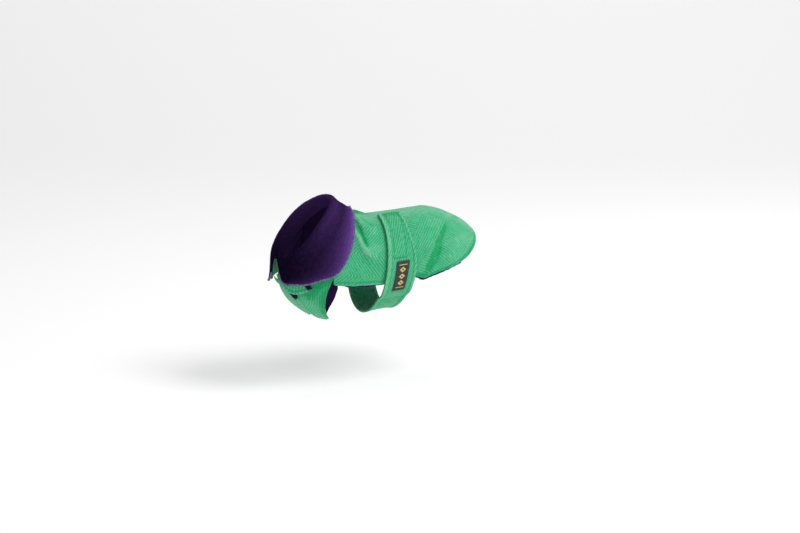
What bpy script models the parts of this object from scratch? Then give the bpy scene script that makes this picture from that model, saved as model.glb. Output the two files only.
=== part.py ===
"""A small dog's coat in thick herringbone cloth with a plush lining and collar.

Metres, +Z up. The head end points to -X, the tail end to +X, and the garment's left
side to -Y. The origin is on the inner face of the coat, on the spine line at the
withers. Every piece of cloth is laid on one hollow worn form, and it is placed by
    station: a number along the body, whole at each row of RINGS, rising to the neck
    angle:   degrees round the body, 0 at the spine, 90 at the left flank, 180 below
    lift:    the height above the form, in metres
"""
import math
from collections import namedtuple

import bmesh
import bpy
from mathutils import Vector

# ---------------------------------------------------------------- driving dimensions
LINING_WALL = 0.0020      # plush lining
SHELL_WALL = 0.0016       # herringbone outer cloth
LAYER_GAP = 0.0006        # air between two layers of cloth
LOOSE_GAP = 0.0010        # air under a piece that only lies on another
SEAM_GAP = 0.0007         # air between two pieces that are sewn edge to edge
COLLAR_WALL = 0.0024      # plush of the upper collar
UNDER_WALL = 0.0016       # cloth of the under collar
BELT_WALL = 0.0024        # the belt is two layers of cloth
TAB_WALL = 0.0013
TAB_LINING_WALL = 0.0009
TAB_GAP = 0.0014          # air under the tab's lining, over the curved neck
LABEL_WALL = 0.0009
LABEL_GAP = 0.0009        # air under the flat label, over the rounded belt

SHELL_LIFT = LINING_WALL + LAYER_GAP
SHELL_TOP = SHELL_LIFT + SHELL_WALL
OVERLAP_LIFT = SHELL_TOP + LOOSE_GAP                 # the front that lies on the other
OVERLAP_TOP = OVERLAP_LIFT + SHELL_WALL
TAB_LINING_LIFT = OVERLAP_TOP + TAB_GAP
TAB_LIFT = TAB_LINING_LIFT + TAB_LINING_WALL + SEAM_GAP
BELT_LIFT = SHELL_TOP + LOOSE_GAP

# The worn form: a row for each section, with its spine point, its point below, and
# half its width.
Ring = namedtuple("Ring", "name top_x top_z low_x low_z half_width")
RINGS = (
    Ring("tail", 0.207, -0.077, 0.150, -0.147, 0.040),
    Ring("rump", 0.194, -0.042, 0.118, -0.155, 0.054),
    Ring("croup", 0.164, -0.015, 0.092, -0.154, 0.061),
    Ring("loin", 0.120, 0.000, 0.070, -0.150, 0.063),
    Ring("waist", 0.065, -0.001, 0.040, -0.147, 0.063),
    Ring("ribs", 0.020, -0.002, -0.005, -0.150, 0.063),
    Ring("withers", -0.005, 0.000, -0.060, -0.152, 0.062),
    Ring("shoulder", -0.020, 0.005, -0.098, -0.1335, 0.060),
    Ring("chest", -0.030, 0.012, -0.121, -0.1075, 0.056),
    Ring("neck_base", -0.040, 0.019, -0.126, -0.081, 0.049),
    Ring("neck", -0.054, 0.033, -0.132, -0.052, 0.044),
    Ring("throat", -0.070, 0.049, -0.140, -0.027, 0.042),
)

# ------------------------------------------------------------------- the back panel
NECK_STATION = 8.95       # where the panels end and the collar is sewn on
REAR_STATION = 1.0        # the rear hem on the spine line
CORNER_STATION = 3.2      # the rear hem where it meets the side hem
REAR_ROUNDING = 4.0       # higher is squarer
LINING_SHOWS = 0.0024     # how far the lining reaches past the outer cloth's hem
REAR_FLARE = 0.0030       # how far the rear hem stands off the form
FLARE_REACH = 1.2         # how many stations forward of the hem this fades out

SideEdge = namedtuple("SideEdge", "station angle")
SIDE_EDGE = (
    SideEdge(3.2, 104.0), SideEdge(3.6, 101.5), SideEdge(4.2, 103.0),
    SideEdge(4.8, 105.5), SideEdge(5.7, 102.5), SideEdge(6.4, 102.5),
    SideEdge(6.9, 103.5), SideEdge(7.1, 97.5), SideEdge(7.35, 91.5),
    SideEdge(7.7, 86.0), SideEdge(8.2, 80.0), SideEdge(9.0, 72.0),
)

# The largest folds: soft ridges between two places, with a half width and a height.
Fold = namedtuple("Fold", "station angle end_station end_angle half_width height")
FOLDS = (
    Fold(6.75, 14.0, 4.95, 50.0, 0.0125, 0.0060),
    Fold(6.65, 40.0, 5.05, 80.0, 0.0115, 0.0052),
    Fold(3.45, 8.0, 3.55, 92.0, 0.0130, 0.0026),
    Fold(2.05, 36.0, 2.40, 96.0, 0.0190, 0.0046),
    Fold(5.90, -8.0, 4.90, -34.0, 0.0120, 0.0062),
    Fold(6.00, -44.0, 5.00, -78.0, 0.0120, 0.0044),
    Fold(6.60, -68.0, 5.20, -94.0, 0.0120, 0.0034),
    Fold(3.50, -12.0, 3.45, -84.0, 0.0130, 0.0026),
    Fold(1.90, -42.0, 2.60, -94.0, 0.0180, 0.0042),
    Fold(2.30, -22.0, 3.30, -10.0, 0.0170, 0.0014),
)
BELT_PRESS = (3.45, 4.95)     # between these stations the belt holds the folds down
PRESS_FADE = 0.30

# ------------------------------------------------------------------ the chest pieces
# An edge runs from the armhole's lower end to the neck, or to the armhole's top corner.
# Its angle is counted from the piece's own flank.
EdgeRow = namedtuple("EdgeRow", "share station angle")
SHELL_ARMHOLE = (
    EdgeRow(0.00, 6.10, 156.5), EdgeRow(0.35, 6.42, 139.0),
    EdgeRow(0.70, 6.80, 122.0), EdgeRow(1.00, 6.92, 106.5),
)
LINING_ARMHOLE = (
    EdgeRow(0.00, 6.20, 156.5), EdgeRow(0.34, 6.36, 139.0), EdgeRow(0.60, 6.45, 122.0),
    EdgeRow(0.83, 6.58, 108.5), EdgeRow(1.00, 6.92, 107.5),
)
# The lower hem and free edge of the left chest piece are one line. The right one has a
# hem that crosses the chest from its armhole, so its own line starts beyond that hem.
LEFT_FREE_EDGE = (
    EdgeRow(0.00, 6.10, 159.5), EdgeRow(0.20, 6.52, 161.0), EdgeRow(0.36, 6.98, 158.0),
    EdgeRow(0.55, 7.62, 154.5), EdgeRow(0.72, 8.20, 162.0), EdgeRow(0.86, 8.58, 180.0),
    EdgeRow(1.00, NECK_STATION, 196.0),
)
RIGHT_FREE_EDGE = (
    EdgeRow(0.00, 7.10, 220.0), EdgeRow(0.35, 7.62, 219.0),
    EdgeRow(0.60, 8.10, 217.0), EdgeRow(1.00, NECK_STATION, 212.0),
)
LEFT_LINING_EDGE = (
    EdgeRow(0.00, 6.22, 159.5), EdgeRow(0.20, 6.48, 150.0), EdgeRow(0.42, 6.85, 136.0),
    EdgeRow(1.00, NECK_STATION, 139.0),
)
LEFT_RISES = (108.0, 128.0)   # the angles over which the left piece climbs onto the right
CORNER_SHARE = 0.5        # the armhole's top corner, as a share of the way to the neck

# ------------------------------------------------------------------------ the collar
# Round the neck from the right front end to the left one: where the outer edge of the
# fall lies, how high it stands off the form, and where the fold is.
CollarRow = namedtuple("CollarRow", "angle edge_station edge_lift fold_station")
COLLAR = (
    CollarRow(-172.0, 8.60, 0.0190, 9.80),
    CollarRow(-150.0, 8.40, 0.0165, 9.85),
    CollarRow(-128.0, 8.00, 0.0130, 9.90),
    CollarRow(-104.0, 7.35, 0.0098, 9.95),
    CollarRow(-80.0, 6.90, 0.0100, 10.00),
    CollarRow(-58.0, 6.35, 0.0135, 9.95),
    CollarRow(-43.0, 5.85, 0.0165, 9.85),
    CollarRow(-30.0, 5.62, 0.0165, 9.80),
    CollarRow(-17.0, 5.85, 0.0140, 9.75),
    CollarRow(-5.0, 6.62, 0.0108, 9.70),
    CollarRow(10.0, 7.02, 0.0095, 9.70),
    CollarRow(35.0, 7.05, 0.0092, 9.80),
    CollarRow(60.0, 6.92, 0.0092, 9.95),
    CollarRow(80.0, 6.93, 0.0092, 10.00),
    CollarRow(98.0, 7.14, 0.0095, 9.95),
    CollarRow(114.0, 7.70, 0.0114, 9.90),
    CollarRow(128.0, 8.07, 0.0158, 9.90),
    CollarRow(145.0, 8.44, 0.0172, 9.85),
    CollarRow(164.0, 8.64, 0.0160, 9.80),
)
COLLAR_END_ROUNDING = 16.0      # degrees over which each front end of the fall is rounded
COLLAR_END_SHARE = 0.45         # how much of the fall is left at the very end
UNDER_END_INSET = 3.0           # degrees by which the under collar stops short of the ends
FALL_SHAPE = 0.75               # below 1, the fall rises most next to the fold
FALL_BULGE = 1.5                # how much steeper that is than the fall as a whole
CREASE_HALF_GAP = 0.0005        # half the air between the stand and the fall
FOLD_LIFT = SHELL_LIFT + UNDER_WALL + CREASE_HALF_GAP    # the middle of the crease
COLLAR_GAP = 0.0009             # air between the two layers of the collar
UNDER_LAYER = CREASE_HALF_GAP + UNDER_WALL / 2
COLLAR_LAYER = UNDER_LAYER + UNDER_WALL / 2 + COLLAR_GAP + COLLAR_WALL / 2

# ------------------------------------------------------------------ the tab and belt
TabRow = namedtuple("TabRow", "angle low_station high_station")
NECK_TAB = (
    TabRow(132.0, 7.72, 8.40), TabRow(146.0, 7.90, 8.62), TabRow(156.0, 8.12, 8.74),
    TabRow(166.0, 8.50, 8.80), TabRow(180.0, 8.66, 8.86), TabRow(192.0, 8.78, 8.89),
)
NECK_TAB_LINING = (
    TabRow(136.0, 7.96, 8.38), TabRow(146.0, 8.02, 8.54), TabRow(150.0, 7.76, 8.60),
    TabRow(156.0, 7.78, 8.66), TabRow(160.0, 8.36, 8.72), TabRow(174.0, 8.66, 8.80),
)
BeltRow = namedtuple("BeltRow", "angle rear_station front_station")
BELT = (
    BeltRow(10.0, 4.00, 4.80), BeltRow(50.0, 3.90, 4.80), BeltRow(78.0, 3.70, 4.80),
    BeltRow(104.0, 3.62, 4.80), BeltRow(180.0, 3.66, 4.82), BeltRow(270.0, 3.75, 4.80),
)
BELT_EDGE_STAND = 0.0032      # the front edge of the belt stands off the coat
BELT_CORNER_ANGLE = 11.0      # how far from its end the belt's corners start to round
BELT_END_SHARE = 0.45         # how much of its width is left at its end
BELT_BELLY_LIFT = 0.0008      # below the coat the belt lies on the belly
BELT_LEAVES_LEFT = (118.0, 130.0)
BELT_LEAVES_RIGHT = (248.0, 236.0)
LABEL_STATIONS = (3.97, 4.45)
LABEL_ANGLES = (81.0, 115.0)

# The grid of each piece: steps along the body, steps round it.
BACK_STEPS = (32, 28)
BACK_LINING_STEPS = (20, 20)
FRONT_STEPS = (12, 16)
FRONT_LINING_STEPS = (12, 10)
COLLAR_STEPS_ROUND = 38
FALL_STEPS = 6
BEND_STEPS = 4
STAND_STEPS = 2
BELT_STEPS = (5, 46)
TAB_STEPS = (4, 11)
LABEL_STEPS = (4, 10)

CLOTH_GREEN = (0.10, 0.42, 0.26, 1.0)
PLUSH_PURPLE = (0.055, 0.022, 0.10, 1.0)
LABEL_CHARCOAL = (0.04, 0.04, 0.045, 1.0)


# -------------------------------------------------------------------- reading tables
def straight(rows, key, column, at):
    """A column of a table where another column has a value, on straight lines."""
    for low, high in zip(rows, rows[1:]):
        start, end = getattr(low, key), getattr(high, key)
        if at <= end or high is rows[-1]:
            share = min(max((at - start) / (end - start), 0.0), 1.0)
            return getattr(low, column) * (1.0 - share) + getattr(high, column) * share
    return getattr(rows[-1], column)


def smooth(rows, key, column, at):
    """As straight, but on a curve through the rows."""
    keys = [getattr(row, key) for row in rows]
    values = [getattr(row, column) for row in rows]
    index = sum(1 for value in keys[1:-1] if value <= at)
    span = keys[index + 1] - keys[index]
    share = min(max((at - keys[index]) / span, 0.0), 1.0)
    slopes = []
    for place in (index, index + 1):
        before, after = max(place - 1, 0), min(place + 1, len(rows) - 1)
        slopes.append((values[after] - values[before]) / (keys[after] - keys[before]))
    square, cube = share * share, share ** 3
    return ((2 * cube - 3 * square + 1) * values[index]
            + (cube - 2 * square + share) * span * slopes[0]
            + (3 * square - 2 * cube) * values[index + 1]
            + (cube - square) * span * slopes[1])


def blend(value, start, end):
    """0 at start, 1 at end, with a soft beginning and end."""
    share = min(max((value - start) / (end - start), 0.0), 1.0)
    return share * share * (3.0 - 2.0 * share)


# --------------------------------------------------------------------- the worn form
def section(station):
    """The five sizes of a ring, on a curve through the rows of RINGS."""
    index = min(max(int(math.floor(station)), 0), len(RINGS) - 2)
    share = station - index
    sizes = []
    for column in Ring._fields[1:]:
        here, after = getattr(RINGS[index], column), getattr(RINGS[index + 1], column)
        before = getattr(RINGS[index - 1], column) if index else 2 * here - after
        beyond = 2 * after - here
        if index + 2 < len(RINGS):
            beyond = getattr(RINGS[index + 2], column)
        sizes.append(0.5 * (2 * here + (after - before) * share
                            + (2 * before - 5 * here + 4 * after - beyond) * share ** 2
                            + (3 * here - before - 3 * after + beyond) * share ** 3))
    return sizes


def form_point(station, angle):
    top_x, top_z, low_x, low_z, half_width = section(station)
    turn = math.radians(angle)
    return Vector(((top_x + low_x) / 2 + (top_x - low_x) / 2 * math.cos(turn),
                   -half_width * math.sin(turn),
                   (top_z + low_z) / 2 + (top_z - low_z) / 2 * math.cos(turn)))


def lifted(station, angle, lift):
    """A point at a height above the form, square to its surface."""
    along = form_point(station + 0.03, angle) - form_point(station - 0.03, angle)
    round_body = form_point(station, angle + 1.0) - form_point(station, angle - 1.0)
    outward = along.cross(round_body).normalized()
    return form_point(station, angle) + outward * lift


def metres_per_station(station, angle):
    return (form_point(station + 0.1, angle) - form_point(station - 0.1, angle)).length / 0.2


def free_of_belt(station):
    """0 where the belt holds the cloth down, 1 clear of it."""
    behind = 1.0 - blend(station, BELT_PRESS[0] - PRESS_FADE, BELT_PRESS[0])
    return behind + blend(station, BELT_PRESS[1], BELT_PRESS[1] + PRESS_FADE)


def fold_height(station, angle):
    """How high the outer cloth is raised by the folds at a place."""
    here = form_point(station, angle)
    height = 0.0
    for fold in FOLDS:
        start = form_point(fold.station, fold.angle)
        way = form_point(fold.end_station, fold.end_angle) - start
        share = min(max((here - start).dot(way) / way.length_squared, 0.0), 1.0)
        middle = form_point(fold.station + (fold.end_station - fold.station) * share,
                            fold.angle + (fold.end_angle - fold.angle) * share)
        away = (here - middle).length / fold.half_width
        ends = blend(share, 0.0, 0.25) * blend(1.0 - share, 0.0, 0.30)
        height += fold.height * ends * math.exp(-away * away)
    return height * free_of_belt(station)


# ------------------------------------------------------------------- laying the cloth
def cloth_surface(name, steps, place):
    """A grid of cloth: place(along, around) gives a point, both from 0 to 1."""
    mesh = bpy.data.meshes.new(name)
    bm = bmesh.new()
    bmesh.ops.create_grid(bm, x_segments=steps[0], y_segments=steps[1], size=0.5)
    for vert in bm.verts:
        vert.co = place(vert.co.x + 0.5, vert.co.y + 0.5)
    bm.normal_update()
    bm.to_mesh(mesh)
    bm.free()
    mesh.shade_smooth()
    return bpy.data.objects.new(name, mesh)


def cloth_piece(name, steps, place, wall, side, material, collection):
    """A cloth surface with its thickness: side 1 is outwards, 0 is both ways."""
    piece = cloth_surface(name, steps, place)
    collection.objects.link(piece)
    thickness = piece.modifiers.new("Wall", "SOLIDIFY")
    thickness.thickness = wall
    thickness.offset = side
    piece.data.materials.append(material)
    return piece


def side_angle(station, past_hem=0.0):
    """The angle of the back panel's side edge; past_hem is a length beyond it."""
    extra = math.degrees(past_hem / section(station)[4])
    fade = 1.0 - blend(station, 6.75, 7.2)
    return straight(SIDE_EDGE, "station", "angle", station) + extra * fade


def back_place(along, around, past_hem=0.0):
    """Station, angle and flare on the back panel, from the rear hem to the neck."""
    across = 2.0 * around - 1.0
    rear = REAR_STATION + (CORNER_STATION - REAR_STATION) * abs(across) ** REAR_ROUNDING
    rear -= past_hem / metres_per_station(rear, 0.0)
    station = rear + (NECK_STATION - rear) * along
    flare = REAR_FLARE * free_of_belt(station) * (1.0 - blend(station - rear, 0.0, FLARE_REACH))
    return station, across * side_angle(station, past_hem), flare


def back_point(along, around):
    station, angle, flare = back_place(along, around)
    return lifted(station, angle, SHELL_LIFT + fold_height(station, angle) + flare)


def back_lining_point(along, around):
    station, angle, flare = back_place(along, around, LINING_SHOWS)
    return lifted(station, angle, flare)


def front_place(along, around, free_edge, armhole=SHELL_ARMHOLE, past_hem=0.0):
    """Station and angle on a chest piece, from its hem to the neck, and from the
    armhole and shoulder seam to the free edge."""
    if along < CORNER_SHARE:
        share = along / CORNER_SHARE
        outer_station = straight(armhole, "share", "station", share)
        outer_angle = straight(armhole, "share", "angle", share)
    else:
        share = (along - CORNER_SHARE) / (1.0 - CORNER_SHARE)
        first = armhole[-1].station
        outer_station = first + (NECK_STATION - first) * share
        gap = math.degrees(SEAM_GAP / section(outer_station)[4])
        outer_angle = side_angle(outer_station, past_hem) + gap
    free_station = smooth(free_edge, "share", "station", along)
    free_angle = smooth(free_edge, "share", "angle", along)
    return (outer_station + (free_station - outer_station) * around,
            outer_angle + (free_angle - outer_angle) * around)


def left_front_point(along, around):
    station, angle = front_place(along, around, LEFT_FREE_EDGE)
    over = blend(angle, *LEFT_RISES)
    return lifted(station, angle, SHELL_LIFT + (OVERLAP_LIFT - SHELL_LIFT) * over)


def right_front_point(along, around):
    station, angle = front_place(along, around, RIGHT_FREE_EDGE)
    return lifted(station, -angle, SHELL_LIFT)


def left_front_lining_point(along, around):
    station, angle = front_place(along, around, LEFT_LINING_EDGE, LINING_ARMHOLE,
                                 LINING_SHOWS)
    return lifted(station, angle, 0.0)


def right_front_lining_point(along, around):
    edge = [row._replace(angle=row.angle - 3.0) for row in RIGHT_FREE_EDGE]
    station, angle = front_place(along, around, edge, LINING_ARMHOLE, LINING_SHOWS)
    return lifted(station, -angle, 0.0)


def collar_point(across, around, layer, end_inset=0.0):
    """A point of the middle of a collar layer, from the neck seam up the stand, round
    the fold and down the fall. The layer is how far it lies outside the crease."""
    first, last = COLLAR[0].angle, COLLAR[-1].angle
    angle = first + end_inset + (last - first - 2.0 * end_inset) * around
    fold = smooth(COLLAR, "angle", "fold_station", angle)
    edge = smooth(COLLAR, "angle", "edge_station", angle)
    edge_lift = smooth(COLLAR, "angle", "edge_lift", angle)
    to_end = min(angle - first, last - angle) / COLLAR_END_ROUNDING
    start_lift = FOLD_LIFT + COLLAR_LAYER
    if to_end < 1.0:
        rounding = math.sqrt(1.0 - (1.0 - to_end) ** 2)
        kept = COLLAR_END_SHARE + (1.0 - COLLAR_END_SHARE) * rounding
        edge = fold + (edge - fold) * kept
        edge_lift = start_lift + (edge_lift - start_lift) * kept ** FALL_SHAPE
    steps = STAND_STEPS + BEND_STEPS + FALL_STEPS
    step = across * steps
    if step <= STAND_STEPS:
        start = NECK_STATION + SEAM_GAP / metres_per_station(NECK_STATION, angle)
        station = start + (fold - start) * step / STAND_STEPS
        return lifted(station, angle, FOLD_LIFT - layer)
    if step <= STAND_STEPS + BEND_STEPS:
        turn = math.pi * (step - STAND_STEPS) / BEND_STEPS
        station = fold + layer * math.sin(turn) / metres_per_station(fold, angle)
        return lifted(station, angle, FOLD_LIFT - layer * math.cos(turn))
    share = (step - STAND_STEPS - BEND_STEPS) / FALL_STEPS
    length = (fold - edge) * metres_per_station((fold + edge) / 2, angle)
    slope = (edge_lift - start_lift) / length
    outer = edge_lift - (COLLAR_LAYER - layer) * math.hypot(1.0, FALL_BULGE * slope)
    lift = FOLD_LIFT + layer + (outer - FOLD_LIFT - layer) * share ** FALL_SHAPE
    return lifted(fold + (edge - fold) * share, angle, lift)


def tab_point(along, around, rows, lift):
    angle = rows[0].angle + (rows[-1].angle - rows[0].angle) * around
    low = smooth(rows, "angle", "low_station", angle)
    high = smooth(rows, "angle", "high_station", angle)
    return lifted(low + (high - low) * along, angle, lift)


def belt_stations(angle):
    """The rear and the front edge of the belt at an angle."""
    return (smooth(BELT, "angle", "rear_station", angle),
            smooth(BELT, "angle", "front_station", angle))


def belt_lift(station, angle):
    """Over the coat on both flanks, close to the belly between them, and standing off
    the left flank along its front edge."""
    leaves_left = blend(angle, *BELT_LEAVES_LEFT)
    below = leaves_left * (1.0 - blend(angle, *reversed(BELT_LEAVES_RIGHT)))
    rear, front = belt_stations(angle)
    on_flank = blend(angle, 20.0, 50.0) * (1.0 - 0.7 * leaves_left)
    stand = BELT_EDGE_STAND * blend((station - rear) / (front - rear), 0.6, 1.0)
    return BELT_LIFT + (BELT_BELLY_LIFT - BELT_LIFT) * below + stand * on_flank


def belt_point(along, around):
    angle = BELT[0].angle + (BELT[-1].angle - BELT[0].angle) * around
    rear, front = belt_stations(angle)
    to_end = min((angle - BELT[0].angle) / BELT_CORNER_ANGLE, 1.0)
    width = BELT_END_SHARE + (1.0 - BELT_END_SHARE) * math.sqrt(to_end * (2.0 - to_end))
    station = (rear + front) / 2 + (front - rear) * (along - 0.5) * width
    return lifted(station, angle, belt_lift(station, angle))


def label_point(along, around):
    station = LABEL_STATIONS[0] + (LABEL_STATIONS[1] - LABEL_STATIONS[0]) * along
    angle = LABEL_ANGLES[0] + (LABEL_ANGLES[1] - LABEL_ANGLES[0]) * around
    return lifted(station, angle, belt_lift(station, angle) + BELT_WALL + LABEL_GAP)


# ---------------------------------------------------------------------------- making
def cloth_material(name, colour, roughness):
    material = bpy.data.materials.new(name)
    material.use_nodes = True
    shader = material.node_tree.nodes["Principled BSDF"]
    shader.inputs["Base Color"].default_value = colour
    shader.inputs["Roughness"].default_value = roughness
    shader.inputs["Metallic"].default_value = 0.0
    material.diffuse_color = colour
    return material


def make_coat(collection):
    green = cloth_material("herringbone_cloth", CLOTH_GREEN, 0.9)
    purple = cloth_material("plush", PLUSH_PURPLE, 0.95)
    charcoal = cloth_material("woven_label", LABEL_CHARCOAL, 0.8)
    collar_steps = (STAND_STEPS + BEND_STEPS + FALL_STEPS, COLLAR_STEPS_ROUND)

    def piece(name, steps, place, wall, side, material):
        cloth_piece(name, steps, place, wall, side, material, collection)

    piece("back", BACK_STEPS, back_point, SHELL_WALL, 1, green)
    piece("back_lining", BACK_LINING_STEPS, back_lining_point, LINING_WALL, 1, purple)
    piece("left_front", FRONT_STEPS, left_front_point, SHELL_WALL, 1, green)
    piece("right_front", FRONT_STEPS, right_front_point, SHELL_WALL, -1, green)
    piece("left_front_lining", FRONT_LINING_STEPS, left_front_lining_point,
          LINING_WALL, 1, purple)
    piece("right_front_lining", FRONT_LINING_STEPS, right_front_lining_point,
          LINING_WALL, -1, purple)
    piece("upper_collar", collar_steps,
          lambda across, around: collar_point(across, around, COLLAR_LAYER),
          COLLAR_WALL, 0, purple)
    piece("under_collar", collar_steps,
          lambda across, around: collar_point(across, around, UNDER_LAYER,
                                              UNDER_END_INSET),
          UNDER_WALL, 0, green)
    piece("neck_tab", TAB_STEPS,
          lambda along, around: tab_point(along, around, NECK_TAB, TAB_LIFT),
          TAB_WALL, 1, green)
    piece("neck_tab_lining", TAB_STEPS,
          lambda along, around: tab_point(along, around, NECK_TAB_LINING, TAB_LINING_LIFT),
          TAB_LINING_WALL, 1, purple)
    piece("belt", BELT_STEPS, belt_point, BELT_WALL, 1, green)
    piece("label", LABEL_STEPS, label_point, LABEL_WALL, 1, charcoal)


def main():
    for item in list(bpy.data.objects):
        bpy.data.objects.remove(item)
    collection = bpy.data.collections.new("dog_coat")
    bpy.context.scene.collection.children.link(collection)
    make_coat(collection)


main()
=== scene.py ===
import math
from collections import namedtuple
from functools import cached_property, partial, partialmethod

import bmesh
import bpy
import numpy as np
from mathutils import Matrix, Vector, noise


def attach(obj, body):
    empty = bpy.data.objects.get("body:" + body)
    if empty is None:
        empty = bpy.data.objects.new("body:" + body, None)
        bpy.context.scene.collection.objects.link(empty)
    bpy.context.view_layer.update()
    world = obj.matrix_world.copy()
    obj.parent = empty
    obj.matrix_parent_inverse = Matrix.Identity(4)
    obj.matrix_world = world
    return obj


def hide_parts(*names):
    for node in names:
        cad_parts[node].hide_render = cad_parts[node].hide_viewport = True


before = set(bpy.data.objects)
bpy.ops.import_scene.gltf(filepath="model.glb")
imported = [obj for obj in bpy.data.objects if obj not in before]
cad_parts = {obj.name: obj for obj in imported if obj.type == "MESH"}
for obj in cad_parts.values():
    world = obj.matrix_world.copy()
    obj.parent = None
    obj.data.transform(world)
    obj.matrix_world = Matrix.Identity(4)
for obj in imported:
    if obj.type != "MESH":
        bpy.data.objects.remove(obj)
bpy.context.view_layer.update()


def table(columns, *rows):
    row_kind = namedtuple("Row", columns)
    return [row_kind(*row) for row in rows]


# ---- driving dimensions
LINING_WALL = 0.0020
SHELL_WALL = 0.0016
LAYER_GAP = 0.0006
LOOSE_GAP = 0.0010
SEAM_GAP = 0.0007
COLLAR_WALL = 0.0024
UNDER_WALL = 0.0016
BELT_WALL = 0.0024
TAB_WALL = 0.0013
TAB_LINING_WALL = 0.0009
TAB_GAP = 0.0014
LABEL_WALL = 0.0009
LABEL_GAP = 0.0009

SHELL_LIFT = LINING_WALL + LAYER_GAP
SHELL_TOP = SHELL_LIFT + SHELL_WALL
OVERLAP_LIFT = SHELL_TOP + LOOSE_GAP
OVERLAP_TOP = OVERLAP_LIFT + SHELL_WALL
TAB_LINING_LIFT = OVERLAP_TOP + TAB_GAP
TAB_LIFT = TAB_LINING_LIFT + TAB_LINING_WALL + SEAM_GAP
BELT_LIFT = SHELL_TOP + LOOSE_GAP

RINGS = table(
    "name top_x top_z low_x low_z half_width",
    ("tail", 0.207, -0.077, 0.150, -0.147, 0.040),
    ("rump", 0.194, -0.042, 0.118, -0.155, 0.054),
    ("croup", 0.164, -0.015, 0.092, -0.154, 0.061),
    ("loin", 0.120, 0.000, 0.070, -0.150, 0.063),
    ("waist", 0.065, -0.001, 0.040, -0.147, 0.063),
    ("ribs", 0.020, -0.002, -0.005, -0.150, 0.063),
    ("withers", -0.005, 0.000, -0.060, -0.152, 0.062),
    ("shoulder", -0.020, 0.005, -0.098, -0.1335, 0.060),
    ("chest", -0.030, 0.012, -0.121, -0.1075, 0.056),
    ("neck_base", -0.040, 0.019, -0.126, -0.081, 0.049),
    ("neck", -0.054, 0.033, -0.132, -0.052, 0.044),
    ("throat", -0.070, 0.049, -0.140, -0.027, 0.042),
)

NECK_STATION = 8.95
REAR_STATION = 1.0
CORNER_STATION = 3.2
REAR_ROUNDING = 4.0
LINING_SHOWS = 0.0024
REAR_FLARE = 0.0030
FLARE_REACH = 1.2
SIDE_HEM_END = (6.75, 7.2)     # where the side hem fades out, between these stations

SIDE_EDGE = "station angle"
LINING_SIDE_EDGE = table(
    SIDE_EDGE,
    (3.2, 104), (3.6, 101.5), (4.2, 103), (4.8, 105.5), (5.7, 102.5), (6.4, 102.5),
    (6.9, 103.5), (7.1, 97.5), (7.35, 91.5), (7.7, 86), (8.2, 80), (9, 72),
)
SHELL_SIDE_EDGE = table(
    SIDE_EDGE,
    (3.2, 104), (3.6, 101.5), (4.2, 103), (4.8, 105.5), (5.7, 102.7), (6.15, 103.4),
    (6.4, 105), (6.65, 107.2), (6.85, 108.8), (7.1, 101.5), (7.35, 93), (7.7, 86.5),
    (8.2, 80), (9, 72),
)

# The large folds are those of the solids; the creases are smaller and only show here.
FOLD = "station angle end_station end_angle half_width height"
FOLDS = table(
    FOLD,
    (6.75, 14, 4.95, 50, 0.0125, 0.0060),
    (6.65, 40, 5.05, 80, 0.0115, 0.0052),
    (3.45, 8, 3.55, 92, 0.0130, 0.0026),
    (2.05, 36, 2.40, 96, 0.0190, 0.0046),
    (5.90, -8, 4.90, -34, 0.0120, 0.0062),
    (6.00, -44, 5.00, -78, 0.0120, 0.0044),
    (6.60, -68, 5.20, -94, 0.0120, 0.0034),
    (3.50, -12, 3.45, -84, 0.0130, 0.0026),
    (1.90, -42, 2.60, -94, 0.0180, 0.0042),
    (2.30, -22, 3.30, -10, 0.0170, 0.0014),
)
CREASES = table(
    FOLD,
    (6.85, 20, 5.62, 66, 0.0046, -0.0038),
    (6.40, 30, 5.70, 64, 0.0040, -0.0010),
    (7.35, 13, 4.70, 56, 0.0037, 0.0030),
    (7.50, 28, 5.30, 76, 0.0038, 0.0030),
    (6.10, 66, 5.15, 92, 0.0080, -0.0008),
    (6.35, 17, 5.15, 38, 0.0045, -0.0019),
    (1.80, 9, 2.30, 23, 0.0050, -0.0015),
    (2.50, 33, 3.02, 74, 0.0062, -0.0020),
    (2.80, 60, 3.22, 106, 0.0060, -0.0030),
    (3.35, 22, 2.60, 30, 0.0055, -0.0007),
    (2.75, 60, 2.90, 96, 0.0050, -0.0010),
    (6.30, -24, 5.40, -50, 0.0058, -0.0014),
    (5.80, -14, 5.10, -30, 0.0038, 0.0010),
    (5.95, -62, 5.15, -86, 0.0070, -0.0010),
    (2.70, -36, 3.10, -98, 0.0090, -0.0015),
    (3.30, -18, 2.50, -34, 0.0055, -0.0008),
    (2.20, -50, 2.75, -88, 0.0058, -0.0009),
)
SUNK_CREASES = [crease for crease in CREASES if crease.height < 0]
RAISED_CREASES = [crease for crease in CREASES if crease.height > 0]
FOLD_FADES = (0.25, 0.30)      # the shares of a fold's length that its two ends take
DEEPEST_FOLD = -0.0004         # how far a crease may sink towards the lining
BELT_PRESS = (3.45, 4.95)
PRESS_FADE = 0.30

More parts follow.
